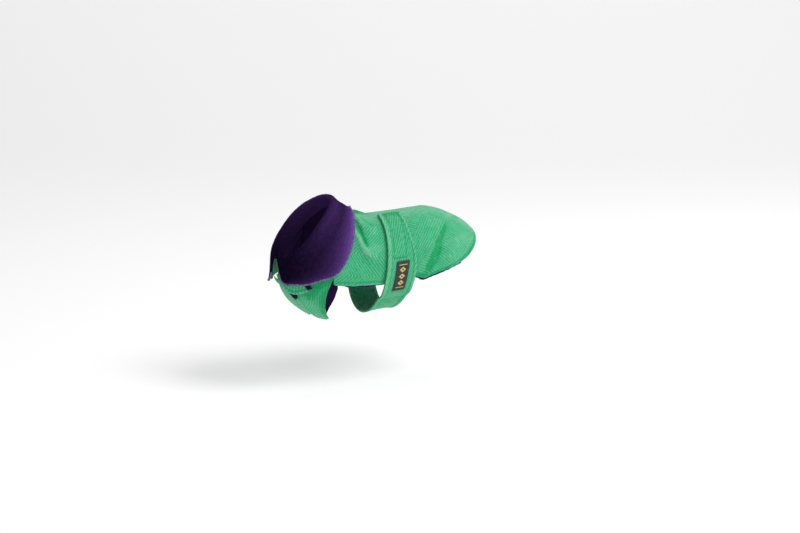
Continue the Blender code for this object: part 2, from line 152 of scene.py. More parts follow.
EDGE = "share station angle"
SHELL_ARMHOLE = table(
    EDGE, (0.00, 6.10, 156.5), (0.22, 6.30, 148), (0.42, 6.52, 139.5), (0.62, 6.72, 131),
    (0.78, 6.88, 124), (0.90, 6.98, 116.5), (1.00, 7.02, 105.5))
LINING_ARMHOLE = table(
    EDGE, (0.00, 6.20, 156.5), (0.34, 6.36, 139), (0.60, 6.45, 122), (0.83, 6.58, 108.5),
    (1.00, 6.92, 107.5))
LEFT_FREE_EDGE = table(
    EDGE, (0.00, 6.10, 159.5), (0.20, 6.52, 161), (0.36, 6.98, 158), (0.55, 7.62, 154.5),
    (0.72, 8.20, 162), (0.86, 8.58, 180), (1.00, NECK_STATION, 196))
RIGHT_FREE_EDGE = table(
    EDGE, (0.00, 7.13, 219.3), (0.35, 7.62, 219), (0.60, 8.10, 217),
    (1.00, NECK_STATION, 212))
LEFT_LINING_EDGE = table(
    EDGE, (0.00, 6.22, 159.5), (0.20, 6.48, 150), (0.42, 6.85, 136),
    (1.00, NECK_STATION, 139))
RIGHT_LINING_EDGE = [row._replace(angle=row.angle - 3) for row in RIGHT_FREE_EDGE]
LEFT, RIGHT = 1, -1
FREE_EDGE = {LEFT: LEFT_FREE_EDGE, RIGHT: RIGHT_FREE_EDGE}
LINING_EDGE = {LEFT: LEFT_LINING_EDGE, RIGHT: RIGHT_LINING_EDGE}
LEFT_RISES = (108, 128)        # the angles where the left piece climbs over the right one
CORNER_SHARE = 0.5
FRONT_WIDTH = 0.09             # a chest piece's width, as far as its hems go by it

COLLAR = table(
    "angle edge_station edge_lift fold_station",
    (-172, 8.60, 0.0190, 9.80),
    (-150, 8.40, 0.0165, 9.85),
    (-128, 8.00, 0.0130, 9.90),
    (-104, 7.35, 0.0098, 9.95),
    (-80, 6.90, 0.0100, 10.00),
    (-58, 6.35, 0.0135, 9.95),
    (-43, 5.85, 0.0165, 9.85),
    (-30, 5.62, 0.0165, 9.80),
    (-17, 5.85, 0.0140, 9.75),
    (-5, 6.62, 0.0108, 9.70),
    (10, 7.02, 0.0095, 9.70),
    (35, 7.05, 0.0092, 9.80),
    (60, 6.92, 0.0092, 9.95),
    (80, 6.93, 0.0092, 10.00),
    (98, 7.14, 0.0095, 9.95),
    (114, 7.70, 0.0114, 9.90),
    (128, 8.07, 0.0158, 9.90),
    (145, 8.44, 0.0172, 9.85),
    (164, 8.64, 0.0160, 9.80),
)
COLLAR_END_ROUNDING = 16.0
COLLAR_END_SHARE = 0.45
UNDER_END_INSET = 3.0
FALL_SHAPE = 0.75
FALL_BULGE = 1.5
CREASE_HALF_GAP = 0.0005
FOLD_LIFT = SHELL_LIFT + UNDER_WALL + CREASE_HALF_GAP
COLLAR_GAP = 0.0009
UNDER_LAYER = CREASE_HALF_GAP + UNDER_WALL / 2
COLLAR_LAYER = UNDER_LAYER + UNDER_WALL / 2 + COLLAR_GAP + COLLAR_WALL / 2

TAB = "angle low_station high_station"
NECK_TAB = table(
    TAB, (132, 7.72, 8.40), (146, 7.90, 8.62), (156, 8.12, 8.74), (166, 8.50, 8.80),
    (180, 8.66, 8.86), (192, 8.78, 8.89))
# The lining's end at 126.5 degrees reaches past the tab's end at 132, and its dark plush there
# stands in for the shade under the tab's end: painted shade.
NECK_TAB_LINING = table(
    TAB, (126.5, 7.66, 8.00), (134, 7.80, 8.30), (146, 8.02, 8.54), (150, 7.76, 8.60),
    (156, 7.78, 8.66), (160, 8.36, 8.72), (174, 8.66, 8.80))
BELT = table(
    "angle rear_station front_station", (10, 4.00, 4.80), (50, 3.90, 4.80),
    (78, 3.70, 4.80), (104, 3.62, 4.80), (180, 3.66, 4.82), (270, 3.75, 4.80))
BELT_EDGE_STAND = 0.0012
BELT_CORNER_ANGLE = 11.0
BELT_END_SHARE = 0.45
BELT_BELLY_LIFT = 0.0008
BELT_LEAVES_LEFT = (118, 130)
BELT_LEAVES_RIGHT = (248, 236)
LABEL_STATIONS = (3.97, 4.45)
LABEL_ANGLES = (81, 115)
BOX_STITCH_STATIONS = (4.12, 4.56)      # the stitched box where the belt fastens
BOX_STITCH_ANGLES = (16, 77)

# The grid of each piece: steps along the body, steps round it.
BACK_STEPS = (180, 176)
BACK_LINING_STEPS = (80, 84)
FRONT_STEPS = (72, 88)
FRONT_LINING_STEPS = (40, 40)
STAND_STEPS, BEND_STEPS, FALL_STEPS = 6, 10, 22
COLLAR_STEPS = (STAND_STEPS + BEND_STEPS + FALL_STEPS, 190)
BELT_STEPS = (40, 250)
TAB_STEPS = (22, 50)
LABEL_STEPS = (14, 34)

# The cloth: ribs slanting one way and the other in bands along the body.
RIB_PITCH = 0.0053            # from rib to rib along the body
RIB_RELIEF = 0.00016          # how much a rib stands up in the mesh
BAND_EDGES = (-0.30, -0.116, -0.082, -0.034, 0.0, 0.034, 0.082, 0.116, 0.30)
BAND_SLOPES = (1.0, -0.9, 1.1, -0.8, 0.8, -1.1, 0.9, -1.0)
# Behind the belt the left side turns down over the rump, and the bands climb to the rear.
REAR_SIDE_START = 0.034            # from the spine
REAR_BAND_CLIMB = 1.25
REAR_BAND_START = 0.037
REAR_BAND_WIDTH = 0.060
REAR_RIBS_ALONG = (0.62, 1.16)     # how fast the rib count grows along the body, by band
REAR_RIBS_ROUND = (1.27, -0.81)    # and round it
# On the chest the ribs run down the piece in slow waves; on the belt they slant.
FRONT_RIB_PITCH = 0.0044
FRONT_RIB_SLANT = 0.25
FRONT_WAVE, FRONT_WAVE_LENGTH = 0.0020, 0.055
BELT_RIBS_ALONG, BELT_RIBS_ROUND = 1.25, -0.55
TAB_RIBS_ROUND, TAB_RIBS_ALONG = 14.0, 3.0      # ribs in all

# Soft swells in the cloth: from one to the next, and how high.
BACK_SWELL, BACK_SWELL_HEIGHT = 0.030, 0.00045
CHEST_SWELL, CHEST_SWELL_HEIGHT = 0.022, 0.0007
COLLAR_SWELL, COLLAR_SWELL_HEIGHT = 0.024, 0.0006
COLLAR_EDGE_ROLL = 0.0004
LABEL_EDGE_SINK = 0.0003

HEM_WIDTH = 0.0050            # from a hem to its line of stitches
HEM_ROUND = 0.00060           # how much the turned hem stands up
FRONT_HEM_EXTRA = 0.0022      # how much wider the belt's front hem is
STITCH_SINK = 0.00045         # how deep the stitches pull the cloth in
BOX_STITCH_SINK = 0.00055
STITCH_REACH = 0.0010         # how far from the stitches their dent reaches
STITCH_SHADE_REACH = 0.0012        # and how far from them their painted shade reaches
STITCH_STAND = 0.0001         # of the stitches over the dent's floor
HIGHEST_DETAIL = 0.0006       # under a piece that lies on this one
STITCH_LENGTH = 0.0026
STITCH_PITCH = 0.0036
STITCH_RADIUS = 0.00026

# The pile of the plush: how many tufts, how long and how wide.
COLLAR_TUFTS = 46000
LINING_TUFTS = 30000
RIM_TUFTS = 9000              # on the collar's rim, and along the hems
TUFT_LENGTH = 0.0030
TUFT_RADIUS = 0.00032
RIM_TUFT_LENGTH = 0.0036
RIM_TUFT_RADIUS = 0.00050
HEM_TUFT_LENGTH = 0.0048
LINING_AT_REAR, LINING_AT_SIDES = 0.15, 0.25     # shares of the tufts at its hems
HEM_AT_REAR = 0.30
HEM_PATCH = 0.009             # from one thick patch of the hem's pile to the next
TUFT_STRAY = 0.22             # how far a tuft leans its own way, as a share of its length
TUFT_ROOT = 0.35              # how far up its length a tuft's middle lies

# The picture: where the withers lie in it, and how much of the coat a pixel shows.
PHOTO_WIDTH = 800
PHOTO_HEIGHT = 533
METRES_PER_PIXEL = 1.55e-3
WITHERS_PIXEL = (357.0, 215.9)
CAMERA_AZIMUTH = math.radians(-27.0)
CAMERA_ELEVATION = math.radians(13.0)
CAMERA_DISTANCE = 3.0
SENSOR = 36.0
FLOOR_Z = -0.265
FLOOR_HALF_SIZE = 3.5
BACKDROP_START, BACKDROP_RADIUS = 2.0, 1.2      # where the floor turns up behind
LIGHT_TARGET = Vector((0.03, 0.0, -0.07))
LIGHTS = table("name place size watts",
               ("key", (1.10, -1.35, 1.80), 1.2, 41.0),
               ("top", (0.30, 0.60, 2.40), 1.6, 6.0))
WORLD_STRENGTH = 0.52
FLOOR_GLOW = 0.22


# ---- reading tables
def straight(rows, at):
    """The other columns of a table where its first has a value, on straight lines."""
    keys, *columns = np.array(rows, float).T
    return [np.interp(at, keys, values) for values in columns]


def smooth(rows, at):
    """The same, on curves through the rows."""
    keys, *columns = np.array(rows, float).T
    at = np.asarray(at, float)
    index = np.searchsorted(keys[1:-1], at, side="right")
    span = keys[index + 1] - keys[index]
    share = np.clip((at - keys[index]) / span, 0.0, 1.0)
    square, cube = share ** 2, share ** 3

    def slope(values, place):
        before, after = np.maximum(place - 1, 0), np.minimum(place + 1, len(rows) - 1)
        return (values[after] - values[before]) / (keys[after] - keys[before])

    return [(2 * cube - 3 * square + 1) * values[index]
            + (cube - 2 * square + share) * span * slope(values, index)
            + (3 * square - 2 * cube) * values[index + 1]
            + (cube - square) * span * slope(values, index + 1)
            for values in columns]


def blend(value, start, end):
    share = np.clip((value - start) / (end - start), 0.0, 1.0)
    return share * share * (3.0 - 2.0 * share)


def bump_at(value, middle, reach):
    return np.exp(-((value - middle) / reach) ** 2)


def between(ends, share):
    return ends[0] + (ends[1] - ends[0]) * share


def unit(vectors):
    return vectors / np.linalg.norm(vectors, axis=-1, keepdims=True)


# ---- the worn form
ring_sizes = np.array([ring[1:] for ring in RINGS])
first_ghost = 2 * ring_sizes[0] - ring_sizes[1]
last_ghost = 2 * ring_sizes[-1] - ring_sizes[-2]
ring_sizes = np.vstack([first_ghost, ring_sizes, last_ghost])
HALF_WIDTH = 4                # the column of a section's sizes


def section(station):
    station = np.asarray(station, float)
    index = np.clip(np.floor(station).astype(int), 0, len(RINGS) - 2)
    share = (station - index)[..., None]
    before, here, after, beyond = (ring_sizes[index + step] for step in range(4))
    return 0.5 * (2 * here + (after - before) * share
                  + (2 * before - 5 * here + 4 * after - beyond) * share ** 2
                  + (3 * here - before - 3 * after + beyond) * share ** 3)


def form_point(station, angle):
    station, angle = np.broadcast_arrays(np.asarray(station, float), angle)
    turn = np.radians(angle)
    top_x, top_z, low_x, low_z, half_width = np.moveaxis(section(station), -1, 0)
    return np.stack([(top_x + low_x) / 2 + (top_x - low_x) / 2 * np.cos(turn),
                     -half_width * np.sin(turn),
                     (top_z + low_z) / 2 + (top_z - low_z) / 2 * np.cos(turn)], -1)


def outward(station, angle):
    along = form_point(station + 0.03, angle) - form_point(station - 0.03, angle)
    round_body = form_point(station, angle + 1.0) - form_point(station, angle - 1.0)
    return unit(np.cross(along, round_body))


def lifted(station, angle, lift):
    lift = np.broadcast_to(np.asarray(lift, float), np.broadcast(station, angle).shape)
    return form_point(station, angle) + outward(station, angle) * lift[..., None]


def metres_per_station(station, angle):
    way = form_point(station + 0.1, angle) - form_point(station - 0.1, angle)
    return np.linalg.norm(way, axis=-1) / 0.2


def metres_per_degree(station, angle):
    way = form_point(station, angle + 1.0) - form_point(station, angle - 1.0)
    return np.linalg.norm(way, axis=-1) / 2.0


# Lengths measured on the form from the belt and from the spine, for the weave.
STATION_STEP, STATION_ROWS = 0.1, 111
ANGLE_STEP, ANGLE_COLUMNS = 2.0, 281
LAST_STATION, LAST_ANGLE = 11.0, 280.0
BELT_ROW, SPINE_COLUMN = 44, 140
cloth_grid = form_point(np.linspace(0.0, LAST_STATION, STATION_ROWS)[:, None],
                        np.linspace(-LAST_ANGLE, LAST_ANGLE, ANGLE_COLUMNS)[None, :])


def grid_lengths(axis):
    """How far each place of the grid lies from the first row, or from the first column."""
    steps = np.linalg.norm(np.diff(cloth_grid, axis=axis), axis=-1)
    return np.concatenate([np.zeros_like(steps.take([0], axis)), np.cumsum(steps, axis)], axis)


lengths_along = grid_lengths(0)
lengths_along -= lengths_along[[BELT_ROW]]
lengths_round = grid_lengths(1)
lengths_round -= lengths_round[:, [SPINE_COLUMN]]


def cloth_length(lengths, station, angle):
    row = np.clip(np.asarray(station, float) / STATION_STEP, 0.0, STATION_ROWS - 1.001)
    col = np.clip((np.asarray(angle, float) + LAST_ANGLE) / ANGLE_STEP, 0.0, ANGLE_COLUMNS - 1.001)
    r, c = row.astype(int), col.astype(int)
    fr, fc = row - r, col - c
    low = lengths[r, c] * (1 - fc) + lengths[r, c + 1] * fc
    high = lengths[r + 1, c] * (1 - fc) + lengths[r + 1, c + 1] * fc
    return low * (1 - fr) + high * fr


def cloth_lengths(station, angle):
    return (cloth_length(lengths_along, station, angle),
            cloth_length(lengths_round, station, angle))


def free_of_belt(station):
    behind = 1.0 - blend(station, BELT_PRESS[0] - PRESS_FADE, BELT_PRESS[0])
    return behind + blend(station, BELT_PRESS[1], BELT_PRESS[1] + PRESS_FADE)


def fold_height(station, angle, folds):
    here = form_point(station, angle)
    height = np.zeros(here.shape[:-1])
    for fold in folds:
        start = form_point(fold.station, fold.angle)
        way = form_point(fold.end_station, fold.end_angle) - start
        share = np.clip((here - start) @ way / (way @ way), 0.0, 1.0)
        middle = form_point(between((fold.station, fold.end_station), share),
                            between((fold.angle, fold.end_angle), share))
        away = np.linalg.norm(here - middle, axis=-1) / fold.half_width
        ends = blend(share, 0.0, FOLD_FADES[0]) * blend(1.0 - share, 0.0, FOLD_FADES[1])
        height += fold.height * ends * np.exp(-away * away)
    return height * free_of_belt(station)


# ---- weave and hem
def waviness(points, size, seed):
    """Soft unevenness from -1 to 1, size metres from one swell to the next."""
    offset = Vector((seed * 7.3, seed * 3.1, seed * 5.7))
    return np.array([noise.noise(Vector(point) / size + offset) for point in points])


def rib_phase(station, angle):
    """How many ribs from the belt a place lies, bent at the edges of the bands."""
    length, across = cloth_lengths(station, angle)
    climbing = across - REAR_BAND_CLIMB * length - REAR_BAND_START
    odd_band = np.floor(climbing / REAR_BAND_WIDTH) % 2 == 1
    rear = (length * np.where(odd_band, REAR_RIBS_ALONG[1], REAR_RIBS_ALONG[0])
            + across * np.where(odd_band, REAR_RIBS_ROUND[1], REAR_RIBS_ROUND[0]))
    bend = np.zeros_like(across)
    for low, high, slope in zip(BAND_EDGES, BAND_EDGES[1:], BAND_SLOPES):
        bend += slope * (np.clip(across, low, high) - low)
    on_rear = (length < 0.0) & (across > REAR_SIDE_START)
    return np.where(on_rear, rear, length + bend) / RIB_PITCH


def front_phase(station, angle, side):
    along, across = cloth_lengths(station, side * angle)
    across = across * side
    wave = FRONT_WAVE * np.sin(across * 2 * math.pi / FRONT_WAVE_LENGTH)
    return (along + FRONT_RIB_SLANT * across + wave) / FRONT_RIB_PITCH


def belt_phase(station, angle):
    along, across = cloth_lengths(station, angle)
    return (along * BELT_RIBS_ALONG + across * BELT_RIBS_ROUND) / RIB_PITCH


def hemmed_ribs(phase, distance):
    """The height of ribs that fade out towards a hem."""
    return RIB_RELIEF * np.cos(2 * math.pi * phase) * blend(distance, 0.0, HEM_WIDTH)


def hem_shape(distance):
    """A turned hem and the dent along its stitches, by distance from the cut edge."""
    turned = HEM_ROUND * (1.0 - blend(distance, HEM_WIDTH * 0.7, HEM_WIDTH * 1.1))
    return turned - STITCH_SINK * bump_at(distance, HEM_WIDTH, STITCH_REACH)


def stitched(distance):
    """Painted shade along the dent of a hem's stitches, by distance from the cut edge."""
    return bump_at(distance, HEM_WIDTH, STITCH_SHADE_REACH)


# ---- places on the pieces
# By two shares of a piece from 0 to 1, the _place functions give places on the form, the
# _point functions points in metres, and the shading functions painted light and shade in the
# colour: 1 painted shade in dark green, -1 painted highlight, pale.
def side_angle(station, past_hem=0.0):
    extra = np.degrees(past_hem / section(station)[..., HALF_WIDTH])
    edge = LINING_SIDE_EDGE if past_hem else SHELL_SIDE_EDGE
    return straight(edge, station)[0] + extra * (1.0 - blend(station, *SIDE_HEM_END))


def rear_station(across, past_hem=0.0):
    rear = REAR_STATION + (CORNER_STATION - REAR_STATION) * np.abs(across) ** REAR_ROUNDING
    return rear - past_hem / metres_per_station(rear, 0.0)


def rear_flare(station, rear):
    return REAR_FLARE * free_of_belt(station) * (1.0 - blend(station - rear, 0.0, FLARE_REACH))


def back_place(along, around, past_hem=0.0):
    across = 2.0 * around - 1.0
    rear = rear_station(across, past_hem)
    station = rear + (NECK_STATION - rear) * along
    return station, across * side_angle(station, past_hem), rear_flare(station, rear)


def back_hem_distance(along, around):
    station, angle, _ = back_place(along, around)
    rear = rear_station(2.0 * around - 1.0)
    from_rear = (station - rear) * metres_per_station(station, angle)
    from_side = (side_angle(station) - np.abs(angle)) * metres_per_degree(station, angle)
    from_side += 0.02 * blend(station, 6.75, 7.0)      # no hem beside the chest's seam
    return np.minimum(from_rear, from_side)


def back_outside(station, angle, flare):
    """The lift of the back panel's base before ribs and hems."""
    folds = fold_height(station, angle, FOLDS) + fold_height(station, angle, CREASES)
    return SHELL_LIFT + np.maximum(folds, DEEPEST_FOLD) + flare


def back_point(along, around):
    station, angle, flare = back_place(along, around)
    distance = back_hem_distance(along, around)
    swell = waviness(form_point(station, angle), BACK_SWELL, 1) * BACK_SWELL_HEIGHT
    detail = hemmed_ribs(rib_phase(station, angle), distance) + hem_shape(distance)
    base = back_outside(station, angle, flare) + swell * free_of_belt(station)
    return lifted(station, angle, base + detail)


def back_painted_shading(along, around):
    station, angle, _ = back_place(along, around)
    distance = back_hem_distance(along, around)
    # Painted shade in dark green in the troughs of the sunk creases; painted highlight, pale, on
    # the crests of the raised creases, on the fold ridges and along the spine.
    painted_shade = 1.3 * blend(-fold_height(station, angle, SUNK_CREASES), 0.0002, 0.0024)
    crest_highlight = blend(fold_height(station, angle, RAISED_CREASES), 0.0006, 0.0021)
    ridge_highlight = blend(fold_height(station, angle, FOLDS), 0.002, 0.006)
    spine = 1.0 - blend(np.abs(angle - 3.0), 10.0, 32.0)
    wear_and_highlight = 1.7 * crest_highlight + 0.35 * ridge_highlight + 0.60 * spine
    # Darker along the hems, less so ahead of the belt.
    hem = 0.80 * (1.0 - blend(distance, HEM_WIDTH * 0.6, HEM_WIDTH * 0.9))
    hem *= 1.0 - 0.65 * blend(station, 4.4, 4.8)
    # Painted shade on a strip just ahead of the belt's front edge and on a patch on the far side
    # of the spine behind the collar; the stitches add painted shade along their dent.
    shade_beside_belt = blend(angle, 10.0, 16.0) * blend(station, 4.60, 4.70)
    shade_beside_belt *= 1.0 - blend(station, 4.80, 4.90)
    far_lump_shade = np.exp(-((station - 6.0) / 0.9) ** 4 - ((angle + 6.0) / 9.0) ** 4)
    shaded = np.clip(far_lump_shade + 0.30 * shade_beside_belt, 0.0, 1.0)
    lie = painted_shade - wear_and_highlight * (1.0 - np.clip(painted_shade, 0.0, 1.0)) + hem
    return lie * (1.0 - shaded) + 1.2 * shaded + 1.2 * stitched(distance)


def back_lining_point(along, around):
    return lifted(*back_place(along, around, LINING_SHOWS))


def front_place(along, around, free_edge, armhole=SHELL_ARMHOLE, past_hem=0.0):
    low_share = np.clip(along / CORNER_SHARE, 0.0, 1.0)
    high_share = np.clip((along - CORNER_SHARE) / (1.0 - CORNER_SHARE), 0.0, 1.0)
    seam_station = between((armhole[-1].station, NECK_STATION), high_share)
    gap = np.degrees(SEAM_GAP / section(seam_station)[..., HALF_WIDTH])
    seam_angle = side_angle(seam_station, past_hem) + gap
    low = along < CORNER_SHARE
    armhole_station, armhole_angle = straight(armhole, low_share)
    free_station, free_angle = smooth(free_edge, along)
    outer_station = np.where(low, armhole_station, seam_station)
    outer_angle = np.where(low, armhole_angle, seam_angle)
    return (between((outer_station, free_station), around),
            between((outer_angle, free_angle), around))


def front_hem_distance(along, around):
    from_armhole = np.where(along < CORNER_SHARE, around * FRONT_WIDTH, HEM_WIDTH * 3)
    return np.minimum(from_armhole, (1.0 - around) * FRONT_WIDTH)


def front_point(along, around, side):
    station, angle = front_place(along, around, FREE_EDGE[side])
    distance = front_hem_distance(along, around)
    swell = waviness(form_point(station, side * angle), CHEST_SWELL, 4 + side)
    ribs = hemmed_ribs(front_phase(station, angle, side), distance)
    detail = ribs + hem_shape(distance) + swell * CHEST_SWELL_HEIGHT
    if side == LEFT:
        lift = between((SHELL_LIFT, OVERLAP_LIFT), blend(angle, *LEFT_RISES)) + detail
    else:
        lift = SHELL_LIFT + np.minimum(detail, HIGHEST_DETAIL)
    return lifted(station, side * angle, lift)


def front_painted_shading(along, around, side):
    station, angle = front_place(along, around, FREE_EDGE[side])
    distance = front_hem_distance(along, around)
    # Painted highlight along the edges of the hems; painted shade under the collar at the top of
    # the chest, towards its outer side and along the stitches; lighter towards the lower front.
    edge = blend(distance, 0.0, 0.0025) - 1.0
    shaded_top = 0.95 * blend(station, 7.0, 7.6) * (1.0 - blend(angle, 130.0, 152.0))
    shoulder = 0.85 * (1.0 - blend(around, 0.10, 0.55))
    lower = 0.45 * blend(angle, 144.0, 160.0)
    return (0.7 * stitched(distance) + 1.3 * edge + 1.25 * np.maximum(shaded_top, shoulder)
            + 0.12 - lower)


def front_lining_point(along, around, side):
    station, angle = front_place(along, around, LINING_EDGE[side], LINING_ARMHOLE, LINING_SHOWS)
    return lifted(station, side * angle, 0.0)


def collar_place(across, around, layer, end_inset=0.0):
    """Up the stand, round the bend at the fold and down the fall, a layer's distance from
    the middle of the crease."""
    first, last = COLLAR[0].angle, COLLAR[-1].angle
    angle = first + end_inset + (last - first - 2.0 * end_inset) * around
    edge, edge_lift, fold = smooth(COLLAR, angle)
    start_lift = FOLD_LIFT + COLLAR_LAYER
    to_end = np.clip(np.minimum(angle - first, last - angle) / COLLAR_END_ROUNDING, 0.0, 1.0)
    kept = between((COLLAR_END_SHARE, 1.0), np.sqrt(1.0 - (1.0 - to_end) ** 2))
    edge = between((fold, edge), kept)
    edge_lift = between((start_lift, edge_lift), kept ** FALL_SHAPE)
    step = across * COLLAR_STEPS[0]
    seam = NECK_STATION + SEAM_GAP / metres_per_station(NECK_STATION, angle)
    stand_station = between((seam, fold), np.clip(step / STAND_STEPS, 0.0, 1.0))
    turn = math.pi * np.clip((step - STAND_STEPS) / BEND_STEPS, 0.0, 1.0)
    bend_station = fold + layer * np.sin(turn) / metres_per_station(fold, angle)
    share = np.clip((step - STAND_STEPS - BEND_STEPS) / FALL_STEPS, 0.0, 1.0)
    length = (fold - edge) * metres_per_station((fold + edge) / 2, angle)
    slope = (edge_lift - start_lift) / length
    outer = edge_lift - (COLLAR_LAYER - layer) * np.hypot(1.0, FALL_BULGE * slope)
    fall_lift = between((FOLD_LIFT + layer, outer), share ** FALL_SHAPE)
    on_stand = step <= STAND_STEPS
    on_fall = step > STAND_STEPS + BEND_STEPS
    station = np.where(on_stand, stand_station,
                       np.where(on_fall, between((fold, edge), share), bend_station))
    lift = np.where(on_stand, FOLD_LIFT - layer,
                    np.where(on_fall, fall_lift, FOLD_LIFT - layer * np.cos(turn)))
    return station, angle, lift, share


def upper_collar_point(across, around):
    station, angle, lift, share = collar_place(across, around, COLLAR_LAYER)
    swell = waviness(form_point(station, angle), COLLAR_SWELL, 8) * COLLAR_SWELL_HEIGHT
    roll = COLLAR_EDGE_ROLL * bump_at(share, 1.0, 0.06)
    return lifted(station, angle, lift + swell * blend(share, 0.05, 0.5) + roll)


def collar_painted_shading(across, around):
    """Painted light and shade: lighter on the upper part than at the front, most towards the outer
    edge, with a painted highlight along the rim.
    """
    _, angle, _, share = collar_place(across, around, COLLAR_LAYER)
    upward = np.cos(np.radians(np.abs(angle) - 25.0)) * 0.5 + 0.5
    edge = 0.12 * bump_at(share, 1.0, 0.10)
    inner = 0.20 * (1.0 - share) * upward ** 2
    return share ** 3.3 * (0.03 + 0.97 * upward ** 3.2) + inner + edge


under_collar_place = partial(collar_place, layer=UNDER_LAYER, end_inset=UNDER_END_INSET)


def under_collar_point(across, around):
    return lifted(*under_collar_place(across, around)[:3])


def tab_point(along, around, rows, lift):
    angle = between((rows[0].angle, rows[-1].angle), around)
    low, high = smooth(rows, angle)
    station = between((low, high), along)
    distance = along * ((high - low) * metres_per_station(station, angle))
    return lifted(station, angle, lift + 0.6 * hem_shape(distance))


def tab_phase(along, around):
    return around * TAB_RIBS_ROUND + along * TAB_RIBS_ALONG


def tab_painted_shading(along, around):
    # Painted shade along the line of the hem's stitches, painted highlight along the tab's edges.
    edge = np.minimum(along, 1.0 - along)
    return 0.9 * bump_at(edge, 0.22, 0.07) - 0.8 * (1.0 - blend(edge, 0.0, 0.12))


def belt_lift(station, angle):
    leaves_left = blend(angle, *BELT_LEAVES_LEFT)
    below = leaves_left * (1.0 - blend(angle, *reversed(BELT_LEAVES_RIGHT)))
    rear, front = smooth(BELT, angle)
    on_flank = blend(angle, 20.0, 50.0) * (1.0 - 0.7 * leaves_left)
    stand = BELT_EDGE_STAND * blend((station - rear) / (front - rear), 0.6, 1.0)
    return between((BELT_LIFT, BELT_BELLY_LIFT), below) + stand * on_flank


def belt_place(along, around):
    angle = between((BELT[0].angle, BELT[-1].angle), around)
    rear, front = smooth(BELT, angle)
    to_end = np.minimum((angle - BELT[0].angle) / BELT_CORNER_ANGLE, 1.0)
    width = between((BELT_END_SHARE, 1.0), np.sqrt(to_end * (2.0 - to_end)))
    return (rear + front) / 2 + (front - rear) * (along - 0.5) * width, angle


def belt_hem_distance(station, angle):
    """How far a place on the belt is from its nearest edge, a wide hem in front."""
    rear, front = smooth(BELT, angle)
    size = metres_per_station(station, angle)
    from_front = (front - station) * size - FRONT_HEM_EXTRA
    to_end = np.minimum(angle - BELT[0].angle, BELT[-1].angle - angle)
    from_end = to_end * metres_per_degree(station, angle)
    return np.minimum(np.minimum((station - rear) * size, from_end), from_front)


def box_distance(station, angle):
    """How far a place on the belt is from the line of the stitched box."""
    low, high = BOX_STITCH_STATIONS
    first, last = BOX_STITCH_ANGLES
    across = np.maximum(low - station, station - high) * metres_per_station(station, angle)
    beyond = np.maximum(first - angle, angle - last) * metres_per_degree(station, angle)
    outside = np.hypot(np.maximum(across, 0.0), np.maximum(beyond, 0.0))
    return outside + np.minimum(np.maximum(across, beyond), 0.0)


def belt_point(along, around):
    station, angle = belt_place(along, around)
    distance = belt_hem_distance(station, angle)
    detail = hemmed_ribs(belt_phase(station, angle), distance) + hem_shape(distance)
    detail -= BOX_STITCH_SINK * bump_at(box_distance(station, angle), 0.0, STITCH_REACH)
    lift = belt_lift(station, angle) + np.minimum(detail, HIGHEST_DETAIL)
    return lifted(station, angle, lift)


def belt_painted_shading(along, around):
    station, angle = belt_place(along, around)
    distance = belt_hem_distance(station, angle)
    # Paler along the hems; painted shade along the stitches and the stitched box, near the belt's
    # upper end, where it goes under the belly and on the walls of its long edges.
    hem = 1.0 - blend(distance, HEM_WIDTH * 0.55, HEM_WIDTH * 0.9)
    box = bump_at(box_distance(station, angle), 0.0, 0.0011)
    end_shade = bump_at(angle, 18.5, 3.5) * (hem < 0.5)
    edge_wall_shade = np.abs(along - 0.5) > 0.495
    below = 0.60 * blend(angle, 110.0, 126.0)
    return (1.1 * stitched(distance) + 1.5 * box + 0.9 * end_shade - 0.50 * hem
            - 0.12 + below + 1.5 * edge_wall_shade)


def label_point(along, around):
    station, angle = between(LABEL_STATIONS, along), between(LABEL_ANGLES, around)
    edge = np.minimum(np.minimum(along, 1 - along) * 0.6, np.minimum(around, 1 - around))
    return lifted(station, angle, belt_lift(station, angle) + BELT_WALL + LABEL_GAP
                  - LABEL_EDGE_SINK * (1.0 - blend(edge, 0.0, 0.08)))


